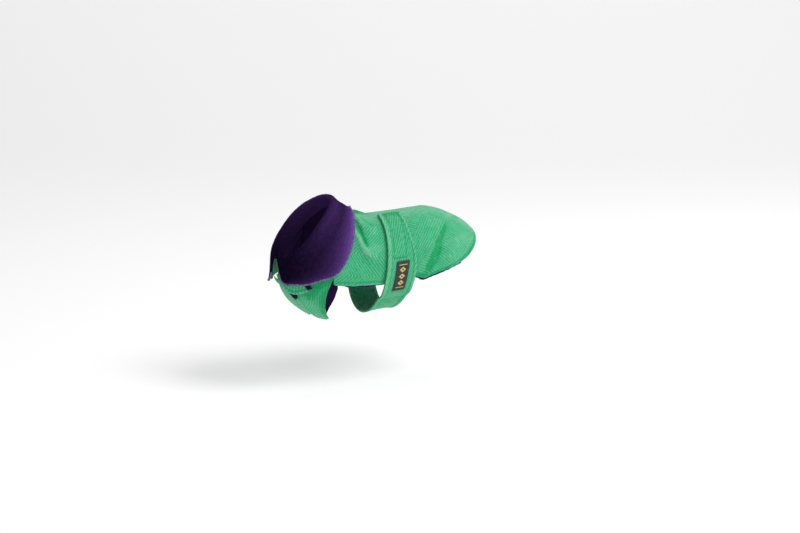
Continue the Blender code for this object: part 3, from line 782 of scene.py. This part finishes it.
# ---- materials
class Look:
    """A material with its nodes, and the steps that they are made in."""

    def __init__(self, name, roughness):
        self.material = bpy.data.materials.new(name)
        self.material.use_nodes = True
        self.nodes = self.material.node_tree.nodes
        self.shader = self.nodes["Principled BSDF"].inputs
        self.shade(Roughness=roughness)

    def set(self, socket, value):
        if isinstance(value, bpy.types.NodeSocket):
            self.material.node_tree.links.new(value, socket)
        else:
            socket.default_value = value

    def fill(self, sockets, values):
        """Sets sockets by their names, which are written with underscores."""
        for name, value in values.items():
            self.set(sockets[name.replace("_", " ")], value)

    def node(self, kind, **inputs):
        made = self.nodes.new("ShaderNode" + kind)
        self.fill(made.inputs, inputs)
        return made

    def shade(self, **inputs):
        self.fill(self.shader, inputs)

    def maths(self, operation, first, second=0.0):
        made = self.node("Math")
        made.operation = operation
        self.set(made.inputs[0], first)
        self.set(made.inputs[1], second)
        return made.outputs[0]

    plus = partialmethod(maths, "ADD")
    minus = partialmethod(maths, "SUBTRACT")
    times = partialmethod(maths, "MULTIPLY")

    def mixed(self, share, first, second):
        made = self.node("Mix")
        made.data_type = "RGBA"
        self.set(made.inputs["Factor"], share)
        self.set(made.inputs[6], first)
        self.set(made.inputs[7], second)
        return made.outputs[2]

    @cached_property
    def place(self):
        return self.node("TexCoord").outputs["Object"]

    def noise(self, scale, detail=2.0):
        made = self.node("TexNoise", Scale=scale, Detail=detail, Vector=self.place)
        return made.outputs["Fac"]

    def attribute(self, name):
        made = self.node("Attribute")
        made.attribute_name = name
        return made.outputs["Fac"]

    def ramp(self, value, low, high):
        made = self.node("MapRange", Value=value, From_Min=low, From_Max=high)
        made.interpolation_type = "SMOOTHSTEP"
        return made.outputs["Result"]

    def bump(self, distance, *heights):
        """heights are (value, strength) pairs, the coarse one first."""
        for value, strength in heights:
            made = self.node("Bump", Strength=strength, Distance=distance, Height=value)
            for link in self.shader["Normal"].links:
                self.set(made.inputs["Normal"], link.from_socket)
            self.set(self.shader["Normal"], made.outputs["Normal"])


# The rib tops are painted lighter and the rib sides darker, painted light and shade on the weave.
# The third colour is paler, for worn patches and for painted highlights; the fourth is painted
# shade, dark green.
RIB_TOP_LIT = (0.048, 0.450, 0.212, 1.0)
RIB_SIDE_SHADED = (0.008, 0.300, 0.112, 1.0)
CLOTH_WEAR_AND_HIGHLIGHT = (0.168, 0.505, 0.308, 1.0)
CLOTH_PAINTED_SHADE = (0.000, 0.300, 0.092, 1.0)
GREEN_SHEEN = (0.85, 1.00, 0.92, 1.0)
# The collar's plush is mixed from deep to light by painted light and shade.
PLUSH_DEEP = (0.0032, 0.0012, 0.010, 1.0)
PLUSH_LIGHT = (0.225, 0.092, 0.470, 1.0)
# The rim's colours, paler than the plush, are a painted highlight along the collar's edge.
RIM_DEEP = (0.120, 0.070, 0.230, 1.0)
RIM_LIGHT = (0.440, 0.330, 0.640, 1.0)
LINING_DEEP = (0.016, 0.0055, 0.038, 1.0)
LINING_LIGHT = (0.110, 0.055, 0.220, 1.0)
PURPLE_SHEEN = (0.50, 0.24, 0.95, 1.0)
LABEL_DARK = (0.010, 0.010, 0.012, 1.0)
LABEL_GREY = (0.034, 0.034, 0.040, 1.0)
LABEL_YELLOW = (0.62, 0.48, 0.13, 1.0)
THREAD_DARK = (0.020, 0.210, 0.095, 1.0)
THREAD_LIGHT = (0.060, 0.330, 0.175, 1.0)
FLOOR_WHITE = (0.90, 0.90, 0.90, 1.0)
WHITE = (1.0, 1.0, 1.0, 1.0)


def herringbone_cloth():
    """Ragged ribs, faded in places, worn in patches, with painted highlights and painted shade."""
    look = Look("napped_herringbone_cloth", 0.92)
    phase = look.plus(look.attribute("rib"), look.times(look.noise(300.0, 4.0), 1.05))
    profile = look.ramp(look.maths("COSINE", look.times(phase, 2 * math.pi)), -1.0, 0.65)
    strength = look.ramp(look.noise(75.0, 3.0), 0.18, 0.55)
    faded = look.minus(1.0, look.times(strength, look.minus(1.0, profile)))
    wear_and_highlight = look.times(look.ramp(look.noise(38.0), 0.48, 0.78), 0.35)
    colour = look.mixed(wear_and_highlight, look.mixed(faded, RIB_SIDE_SHADED, RIB_TOP_LIT), CLOTH_WEAR_AND_HIGHLIGHT)
    fuzz = look.noise(900.0, 3.0)
    fuzzy = look.mixed(look.times(fuzz, 0.45), colour, CLOTH_WEAR_AND_HIGHLIGHT)
    light = look.mixed(look.ramp(fuzz, 0.35, 0.75), colour, fuzzy)
    uneven = look.times(look.minus(look.noise(170.0, 4.0), 0.5), 1.6)
    # Painted light and shade: the points' attribute, made uneven and higher in the rib troughs,
    # turns the colour pale as a painted highlight where low and dark green as painted shade where
    # high.
    painted_shading = look.minus(look.plus(look.attribute("painted_shading"), uneven),
                     look.times(0.35, look.minus(profile, 0.5)))
    painted_highlight = look.times(0.85, look.ramp(look.times(painted_shading, -1.0), 0.0, 1.0))
    painted_shade = look.times(0.95, look.ramp(painted_shading, 0.10, 1.15))
    highlit_colour = look.mixed(painted_highlight, light, CLOTH_WEAR_AND_HIGHLIGHT)
    look.shade(Base_Color=look.mixed(painted_shade, highlit_colour, CLOTH_PAINTED_SHADE),
               Specular_IOR_Level=0.15, Sheen_Weight=0.30, Sheen_Roughness=0.50,
               Sheen_Tint=GREEN_SHEEN)
    look.bump(0.0006, (faded, 0.45), (fuzz, 0.60))
    return look.material


def plush(name, deep, light, sheen):
    """Pile mixed from its deep to its light colour in random clumps and by the attribute at its
    points.
    """
    look = Look(name, 0.95)
    clumps = look.ramp(look.noise(210.0, 3.0), 0.32, 0.70)
    share = look.plus(look.times(clumps, 0.03), look.times(look.attribute("painted_shading"), 0.90))
    look.shade(Base_Color=look.mixed(share, deep, light), Specular_IOR_Level=0.03,
               Sheen_Weight=sheen, Sheen_Roughness=0.35, Sheen_Tint=PURPLE_SHEEN)
    look.bump(0.0007, (clumps, 0.50), (look.noise(1300.0), 0.60))
    return look.material


def woven_label():
    """Charcoal satin with three small lozenges and a rule at each end, in yellow."""
    look = Look("woven_label_with_lozenges", 0.60)
    uv = look.node("UVMap")
    uv.uv_map = "cloth"
    parts = look.node("SeparateXYZ", Vector=uv.outputs["UV"])

    def from_middle(value, middle):
        return look.maths("ABSOLUTE", look.minus(value, middle))

    def inside(value, low, high):
        return look.minus(1.0, look.ramp(value, low, high))

    side = from_middle(parts.outputs["X"], 0.5)
    ink = 0.0
    for middle in (0.28, 0.50, 0.72):
        size = look.plus(look.times(side, 0.36), from_middle(parts.outputs["Y"], middle))
        lozenge = look.times(inside(size, 0.082, 0.098), look.ramp(size, 0.028, 0.040))
        ink = look.maths("MAXIMUM", ink, lozenge)
    for middle in (0.12, 0.88):
        rule = look.times(inside(from_middle(parts.outputs["Y"], middle), 0.008, 0.016),
                          inside(side, 0.30, 0.34))
        ink = look.maths("MAXIMUM", ink, rule)
    threads = look.node("TexWave", Scale=40.0, Vector=uv.outputs["UV"])
    threads.bands_direction = "Y"
    ground = look.mixed(threads.outputs["Fac"], LABEL_DARK, LABEL_GREY)
    look.shade(Base_Color=look.mixed(ink, ground, LABEL_YELLOW))
    look.bump(0.0004, (threads.outputs["Fac"], 0.30), (ink, 0.40))
    return look.material


def sewing_thread():
    look = Look("green_sewing_thread", 0.7)
    twist = look.noise(1500.0, 1.0)
    look.shade(Base_Color=look.mixed(twist, THREAD_DARK, THREAD_LIGHT))
    return look.material


def pale_floor():
    look = Look("pale_floor", 0.9)
    look.shade(Base_Color=FLOOR_WHITE, Emission_Color=WHITE, Emission_Strength=FLOOR_GLOW)
    return look.material


cloth = herringbone_cloth()
collar_plush = plush("collar_plush", PLUSH_DEEP, PLUSH_LIGHT, 0.04)
# The rim's pile is coloured as a painted highlight.
rim_highlight_plush = plush("collar_rim_plush_highlight", RIM_DEEP, RIM_LIGHT, 0.60)
lining_plush = plush("lining_plush", LINING_DEEP, LINING_LIGHT, 0.25)
label_satin = woven_label()
thread = sewing_thread()


# ---- laying the cloth
BODY_MIDDLE = Vector((0.05, 0.0, -0.075))
NECK_MIDDLE = Vector((-0.085, 0.0, -0.03))


def scene_object(name, data):
    thing = bpy.data.objects.new(name, data)
    bpy.context.scene.collection.objects.link(thing)
    return thing


def coat_piece(name, mesh, material):
    mesh.materials.append(material)
    piece = scene_object(name, mesh)
    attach(piece, "root")
    return piece


def store(mesh, name, values):
    """Keeps a number at every point of a mesh, for its material."""
    layer = mesh.attributes.new(name, "FLOAT", "POINT")
    layer.data.foreach_set("value", values * np.ones(len(mesh.vertices)))


def cloth_surface(name, steps, place, phase, painted_shading):
    """A grid of cloth with its points, ribs and nap from functions of its two shares."""
    mesh = bpy.data.meshes.new(name)
    bm = bmesh.new()
    bmesh.ops.create_grid(bm, x_segments=steps[0], y_segments=steps[1], size=0.5)
    bm.to_mesh(mesh)
    bm.free()
    flat = np.zeros(len(mesh.vertices) * 3)
    mesh.vertices.foreach_get("co", flat)
    along, around = np.clip(flat.reshape(-1, 3).T[:2] + 0.5, 0.0, 1.0)
    mesh.vertices.foreach_set("co", place(along, around).ravel())
    store(mesh, "rib", phase(along, around) if phase else 0.0)
    # Painted light and shade for the material, from the piece's shading function.
    store(mesh, "painted_shading", np.clip(painted_shading(along, around), -1.0, 1.0) if painted_shading else 0.0)
    uv_layer = mesh.uv_layers.new(name="cloth")
    corners = np.zeros(len(mesh.loops), int)
    mesh.loops.foreach_get("vertex_index", corners)
    uv_layer.data.foreach_set("uv", np.stack([along, around], 1)[corners].ravel())
    mesh.update()
    return mesh


def face_outwards(mesh, inside):
    """Turns the faces so that they look away from a point inside the coat."""
    bm = bmesh.new()
    bm.from_mesh(mesh)
    looks_out = sum(1 if face.normal.dot(face.calc_center_median() - inside) > 0 else -1
                    for face in bm.faces)
    if looks_out < 0:
        bmesh.ops.reverse_faces(bm, faces=bm.faces[:])
    bm.to_mesh(mesh)
    bm.free()
    mesh.shade_smooth()


def cloth_piece(name, node, steps, place, wall, material, slot, phase=None, painted_shading=None,
                inside=BODY_MIDDLE, offset=1.0, rim=0.35):
    mesh = cloth_surface(name, steps, place, phase, painted_shading)
    face_outwards(mesh, inside)
    piece = coat_piece(name, mesh, material)
    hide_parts(node)
    thickness = piece.modifiers.new("Wall", "SOLIDIFY")
    thickness.thickness = wall
    thickness.offset = offset
    soft_rim = piece.modifiers.new("Soft rim", "BEVEL")
    soft_rim.width = wall * rim
    soft_rim.segments = 2
    soft_rim.limit_method = "ANGLE"
    soft_rim.angle_limit = math.radians(50.0)


def ribs_of(phase, place):
    """The ribs by a piece's two shares, from a phase by station and angle."""
    return lambda along, around: phase(*place(along, around)[:2])


def make_cloth_pieces():
    green, pile = (cloth, "herringbone_cloth"), (lining_plush, "plush")
    cloth_piece("back_shell", "back", BACK_STEPS, back_point, SHELL_WALL, *green,
                ribs_of(rib_phase, back_place), back_painted_shading)
    cloth_piece("back_plush_lining", "back_lining", BACK_LINING_STEPS, back_lining_point,
                LINING_WALL, *pile)
    sides = {"left": LEFT, "right": RIGHT}
    for word, side in sides.items():
        ribs = ribs_of(partial(front_phase, side=side),
                       partial(front_place, free_edge=FREE_EDGE[side]))
        cloth_piece(word + "_chest_shell", word + "_front", FRONT_STEPS,
                    partial(front_point, side=side), SHELL_WALL, *green, ribs,
                    partial(front_painted_shading, side=side))
    for word, side in sides.items():
        cloth_piece(word + "_chest_lining", word + "_front_lining", FRONT_LINING_STEPS,
                    partial(front_lining_point, side=side), LINING_WALL, *pile)
    cloth_piece("collar_plush_top", "upper_collar", COLLAR_STEPS, upper_collar_point,
                COLLAR_WALL, collar_plush, "plush", painted_shading=collar_painted_shading, inside=NECK_MIDDLE,
                offset=0.0, rim=0.45)
    cloth_piece("collar_cloth_under", "under_collar", COLLAR_STEPS, under_collar_point,
                UNDER_WALL, *green, ribs_of(rib_phase, under_collar_place),
                inside=NECK_MIDDLE, offset=0.0)
    cloth_piece("chin_tab", "neck_tab", TAB_STEPS,
                partial(tab_point, rows=NECK_TAB, lift=TAB_LIFT), TAB_WALL, *green,
                tab_phase, tab_painted_shading)
    cloth_piece("chin_tab_lining", "neck_tab_lining", TAB_STEPS,
                partial(tab_point, rows=NECK_TAB_LINING, lift=TAB_LINING_LIFT),
                TAB_LINING_WALL, *pile)
    cloth_piece("belly_belt", "belt", BELT_STEPS, belt_point, BELT_WALL, *green,
                ribs_of(belt_phase, belt_place), belt_painted_shading, rim=0.45)
    cloth_piece("woven_label", "label", LABEL_STEPS, label_point, LABEL_WALL, label_satin,
                "woven_label")


make_cloth_pieces()


# ---- pile and stitches
def copies_mesh(name, bm, middles, axes):
    """A mesh with a copy of a small bmesh at every middle, along its own three axes."""
    template = np.array([vert.co[:] for vert in bm.verts])
    one = scene_object(name, bpy.data.meshes.new(name))
    bm.to_mesh(one.data)
    bm.free()
    copies = one.modifiers.new("Copies", "ARRAY")
    copies.count = len(middles)
    copies.use_relative_offset = False
    evaluated = one.evaluated_get(bpy.context.evaluated_depsgraph_get())
    mesh = bpy.data.meshes.new_from_object(evaluated)
    bpy.data.objects.remove(one)
    co = np.stack([middles + axes[0] * x + axes[1] * y + axes[2] * z for x, y, z in template], 1)
    mesh.vertices.foreach_set("co", co.ravel())
    mesh.update()
    return mesh


def plant_tufts(name, points, normals, lean, lengths, material, seed, painted_shading=0.0,
                radius=TUFT_RADIUS):
    """Short closed tufts of pile: a three-sided cone at every point."""
    random = np.random.default_rng(seed)
    count = len(points)
    up = unit(normals + lean + random.normal(0.0, TUFT_STRAY, (count, 3)))
    aside = unit(np.cross(up, random.normal(0.0, 1.0, (count, 3))))
    width = radius * random.uniform(0.7, 1.3, (count, 1))
    axes = (aside * width, np.cross(up, aside) * width, up * lengths[:, None])
    bm = bmesh.new()
    bmesh.ops.create_cone(bm, cap_ends=True, segments=3, radius1=1.0, radius2=0.0, depth=1.0)
    mesh = copies_mesh(name, bm, points + axes[2] * TUFT_ROOT, axes)
    store(mesh, "painted_shading", np.repeat(painted_shading * np.ones(count), len(mesh.vertices) // count))
    coat_piece(name, mesh, material)


def surface_frame(place, along, around, inside):
    """Points of a laid cloth, with the way outwards and the way along it, by small steps."""
    step = 0.002
    low, high = np.clip(along - step, 0, 1), np.clip(along + step, 0, 1)
    way = place(high, around) - place(low, around)
    low, high = np.clip(around - step, 0, 1), np.clip(around + step, 0, 1)
    normal = unit(np.cross(way, place(along, high) - place(along, low)))
    points = place(along, around)
    far = along > 0.7
    looks_out = np.sum(normal[far] * (points[far] - np.array(inside)), axis=1).mean()
    return points, normal * np.sign(looks_out), unit(way)


def collar_pile():
    random = np.random.default_rng(11)
    across = random.uniform(0.0, 1.0, COLLAR_TUFTS) ** 0.72
    around = random.uniform(0.0, 1.0, COLLAR_TUFTS)
    points, normals, way = surface_frame(upper_collar_point, across, around, NECK_MIDDLE)
    points = points + normals * (COLLAR_WALL / 2 - 0.0004)
    lengths = TUFT_LENGTH * random.uniform(0.55, 1.0, COLLAR_TUFTS) * 0.75
    plant_tufts("collar_pile", points, normals, way * 1.1, lengths, collar_plush, 12,
                collar_painted_shading(across, around))


def collar_rim_pile():
    random = np.random.default_rng(13)
    around = random.uniform(0.0, 1.0, RIM_TUFTS)
    points, normals, way = surface_frame(upper_collar_point, np.full(RIM_TUFTS, 0.998), around,
                                         NECK_MIDDLE)
    height = random.uniform(-0.45, 0.45, RIM_TUFTS) * COLLAR_WALL
    points = points + normals * height[:, None] - way * 0.0006
    lengths = RIM_TUFT_LENGTH * random.uniform(0.6, 1.2, RIM_TUFTS)
    plant_tufts("collar_rim_pile", points, way + normals * 0.5, 0.0, lengths, rim_highlight_plush, 14,
                random.uniform(0.0, 1.0, RIM_TUFTS), RIM_TUFT_RADIUS)


def lining_pile():
    """Pile along the visible rim of the lining, below the hems, and over its inside."""
    random = np.random.default_rng(17)
    across, around = random.uniform(0, 1, (2, LINING_TUFTS))
    at_rear = random.uniform(0, 1, LINING_TUFTS) < LINING_AT_REAR
    at_side = (random.uniform(0, 1, LINING_TUFTS) < LINING_AT_SIDES) & ~at_rear
    across = np.where(at_rear, across * 0.004, across)
    beside = np.where(around < 0.5, around * 0.02, 1 - (1 - around) * 0.02)
    around = np.where(at_side, beside, around)
    points, normals, way = surface_frame(back_lining_point, across, around, BODY_MIDDLE)
    lengths = TUFT_LENGTH * random.uniform(0.5, 1.0, LINING_TUFTS) * 0.8
    plant_tufts("lining_pile", points + normals * 0.0004, -normals, -way * 0.7, lengths,
                lining_plush, 18)


def hem_pile():
    """The lining's pile peeps out under the hems, in uneven tufts."""
    random = np.random.default_rng(19)
    at_rear = random.uniform(0, 1, RIM_TUFTS) < HEM_AT_REAR
    on_left = random.uniform(0, 1, RIM_TUFTS) < 0.5
    along, around = random.uniform(0, 1, (2, RIM_TUFTS))
    along = np.where(at_rear, 0.003, along * 0.74)
    from_edge = np.where(at_rear, 0.003 + 0.13 * around, 0.003)
    around = np.where(on_left, from_edge, 1.0 - from_edge)
    points, normals, way = surface_frame(back_lining_point, along, around, BODY_MIDDLE)
    inner = back_lining_point(along, np.where(around < 0.5, 0.45, 0.55))
    way = np.where(at_rear[:, None], -way, unit(points - inner))
    patchy = waviness(points, HEM_PATCH, 21) * 0.5 + 0.5
    lengths = HEM_TUFT_LENGTH * (0.3 + 0.9 * patchy) * random.uniform(0.6, 1.1, RIM_TUFTS)
    points = points + normals * (LINING_WALL * random.uniform(0.0, 0.9, RIM_TUFTS))[:, None]
    station = back_place(along, around, LINING_SHOWS)[0]
    keep = at_rear | (free_of_belt(station) > 0.5)
    # These tufts take the lining's light colour, a painted highlight on the pile under the hems;
    # the pile inside keeps the deep colour.
    plant_tufts("hem_pile", points[keep], way[keep], -normals[keep] * 0.05, lengths[keep],
                lining_plush, 20, 1.0, RIM_TUFT_RADIUS)


def stitch_line(stations, angles, lift_at):
    """Even places along a line on the form, with the way it runs."""
    points = lifted(stations, angles, lift_at(stations, angles))
    steps = np.linalg.norm(np.diff(points, axis=0), axis=1)
    length = np.concatenate([[0.0], np.cumsum(steps)])

    def on_line(at):
        return np.stack([np.interp(at, length, points[:, k]) for k in range(3)], 1)

    at = np.arange(STITCH_PITCH / 2, length[-1], STITCH_PITCH)
    return on_line(at), unit(on_line(at + 0.0008) - on_line(at - 0.0008))


def sew(name, lines):
    middles = np.vstack([line[0] for line in lines])
    way = np.vstack([line[1] for line in lines])
    aside = unit(np.cross(way, np.array([0.3, 0.5, 0.8])))
    axes = (aside * STITCH_RADIUS, np.cross(way, aside) * STITCH_RADIUS,
            way * (STITCH_LENGTH / 2))
    bm = bmesh.new()
    bmesh.ops.create_uvsphere(bm, u_segments=6, v_segments=5, radius=1.0)
    mesh = copies_mesh(name, bm, middles, axes)
    mesh.shade_smooth()
    coat_piece(name, mesh, thread)


def back_hem_stitches():
    def lift_at(stations, angles):
        rear = rear_station(angles / side_angle(stations))
        base = back_outside(stations, angles, rear_flare(stations, rear))
        return base + SHELL_WALL - STITCH_SINK + STITCH_STAND

    across = np.linspace(-0.985, 0.985, 400)
    rear = rear_station(across)
    stations = rear + HEM_WIDTH / metres_per_station(rear, across * side_angle(rear))
    lines = [stitch_line(stations, across * side_angle(stations), lift_at)]
    for side in (RIGHT, LEFT):
        stations = np.linspace(CORNER_STATION + 0.15, 6.85, 200)
        turn = HEM_WIDTH / metres_per_degree(stations, side * side_angle(stations))
        lines.append(stitch_line(stations, side * (side_angle(stations) - turn), lift_at))
    sew("back_hem_stitches", lines)


def belt_stitches():
    def lift_at(stations, angles):
        return belt_lift(stations, angles) + BELT_WALL - STITCH_SINK + STITCH_STAND

    angles = np.linspace(BELT[0].angle + 12.0, BELT[-1].angle - 4.5, 400)
    rear, front = smooth(BELT, angles)
    size = metres_per_station((rear + front) / 2, angles)
    rear = rear + HEM_WIDTH / size
    front = front - (HEM_WIDTH + FRONT_HEM_EXTRA) / size
    lines = [stitch_line(rear, angles, lift_at), stitch_line(front, angles, lift_at),
             stitch_line(np.linspace(rear[-1], front[-1], 40), np.full(40, angles[-1]), lift_at)]
    for station in BOX_STITCH_STATIONS:
        long_side = np.linspace(*BOX_STITCH_ANGLES, 120)
        lines.append(stitch_line(np.full(120, station), long_side, lift_at))
    for angle in BOX_STITCH_ANGLES:
        short_side = np.linspace(*BOX_STITCH_STATIONS, 40)
        lines.append(stitch_line(short_side, np.full(40, angle), lift_at))
    sew("belt_stitches", lines)


collar_pile()
collar_rim_pile()
lining_pile()
hem_pile()
back_hem_stitches()
belt_stitches()

# ---- cut sizes of cloth
CUTS = table(
    "name width length area held rests_on trim",
    ("back_shell", 0.339, 0.263, 0.0629, "draped", ["back_plush_lining"],
     ["back_hem_stitches"]),
    ("back_plush_lining", 0.335, 0.259, 0.0614, "draped", [], ["lining_pile", "hem_pile"]),
    ("left_chest_shell", 0.128, 0.147, 0.0064, "laid", ["right_chest_shell"], []),
    ("right_chest_shell", 0.147, 0.144, 0.0108, "laid", ["right_chest_lining"], []),
    ("left_chest_lining", 0.071, 0.140, 0.0040, "laid", [], []),
    ("right_chest_lining", 0.138, 0.140, 0.0101, "laid", [], []),
    ("collar_plush_top", 0.483, 0.101, 0.0315, "folded", ["collar_cloth_under"],
     ["collar_pile", "collar_rim_pile"]),
    ("collar_cloth_under", 0.454, 0.092, 0.0282, "folded", ["back_shell"], []),
    ("chin_tab", 0.076, 0.023, 0.00092, "laid", ["left_chest_shell"], []),
    ("chin_tab_lining", 0.081, 0.029, 0.00085, "laid", ["left_chest_shell"], []),
    ("belly_belt", 0.052, 0.330, 0.0154, "stretched", ["back_shell"], ["belt_stitches"]),
    ("woven_label", 0.021, 0.047, 0.00096, "laid", ["belly_belt"], []),
)


# ---- floor and picture
def make_stage():
    """A pale floor that curves up into a backdrop."""
    bm = bmesh.new()
    bmesh.ops.create_grid(bm, x_segments=1, y_segments=40, size=FLOOR_HALF_SIZE)
    for vert in bm.verts:
        past = vert.co.y - BACKDROP_START
        if past > 0.0:
            turn = min(past / BACKDROP_RADIUS, math.pi / 2)
            upright = max(past - BACKDROP_RADIUS * math.pi / 2, 0.0)
            vert.co.y = BACKDROP_START + BACKDROP_RADIUS * math.sin(turn)
            vert.co.z = BACKDROP_RADIUS * (1.0 - math.cos(turn)) + upright
    mesh = bpy.data.meshes.new("pale_floor")
    bm.to_mesh(mesh)
    bm.free()
    mesh.transform(Matrix.Rotation(CAMERA_AZIMUTH, 4, "Z"))
    mesh.transform(Matrix.Translation((0.0, 0.0, FLOOR_Z)))
    mesh.shade_smooth()
    mesh.materials.append(pale_floor())
    scene_object("pale_floor", mesh)


def make_light(light):
    data = bpy.data.lights.new(light.name, "AREA")
    data.shape = "SQUARE"
    data.size = light.size
    data.energy = light.watts
    lamp = scene_object(light.name, data)
    lamp.location = light.place
    way = LIGHT_TARGET - Vector(light.place)
    lamp.rotation_euler = way.to_track_quat("-Z", "Y").to_euler()


def make_world():
    world = bpy.data.worlds.new("studio")
    world.use_nodes = True
    background = world.node_tree.nodes["Background"].inputs
    background["Color"].default_value = WHITE
    background["Strength"].default_value = WORLD_STRENGTH
    bpy.context.scene.world = world


def make_camera():
    level = math.cos(CAMERA_ELEVATION)
    back = Vector((math.sin(CAMERA_AZIMUTH) * level, -math.cos(CAMERA_AZIMUTH) * level,
                   math.sin(CAMERA_ELEVATION)))
    right = Vector((math.cos(CAMERA_AZIMUTH), math.sin(CAMERA_AZIMUTH), 0.0))
    up = back.cross(right)
    target = (-(WITHERS_PIXEL[0] - PHOTO_WIDTH / 2) * METRES_PER_PIXEL * right
              - (PHOTO_HEIGHT / 2 - WITHERS_PIXEL[1]) * METRES_PER_PIXEL * up)
    data = bpy.data.cameras.new("camera")
    data.sensor_width = SENSOR
    data.lens = SENSOR * CAMERA_DISTANCE / (PHOTO_WIDTH * METRES_PER_PIXEL)
    camera = scene_object("camera", data)
    camera.location = target + back * CAMERA_DISTANCE
    camera.rotation_euler = (-back).to_track_quat("-Z", "Y").to_euler()
    bpy.context.scene.camera = camera


make_stage()
for light in LIGHTS:
    make_light(light)
make_world()
make_camera()
bpy.context.scene.view_settings.view_transform = "Standard"
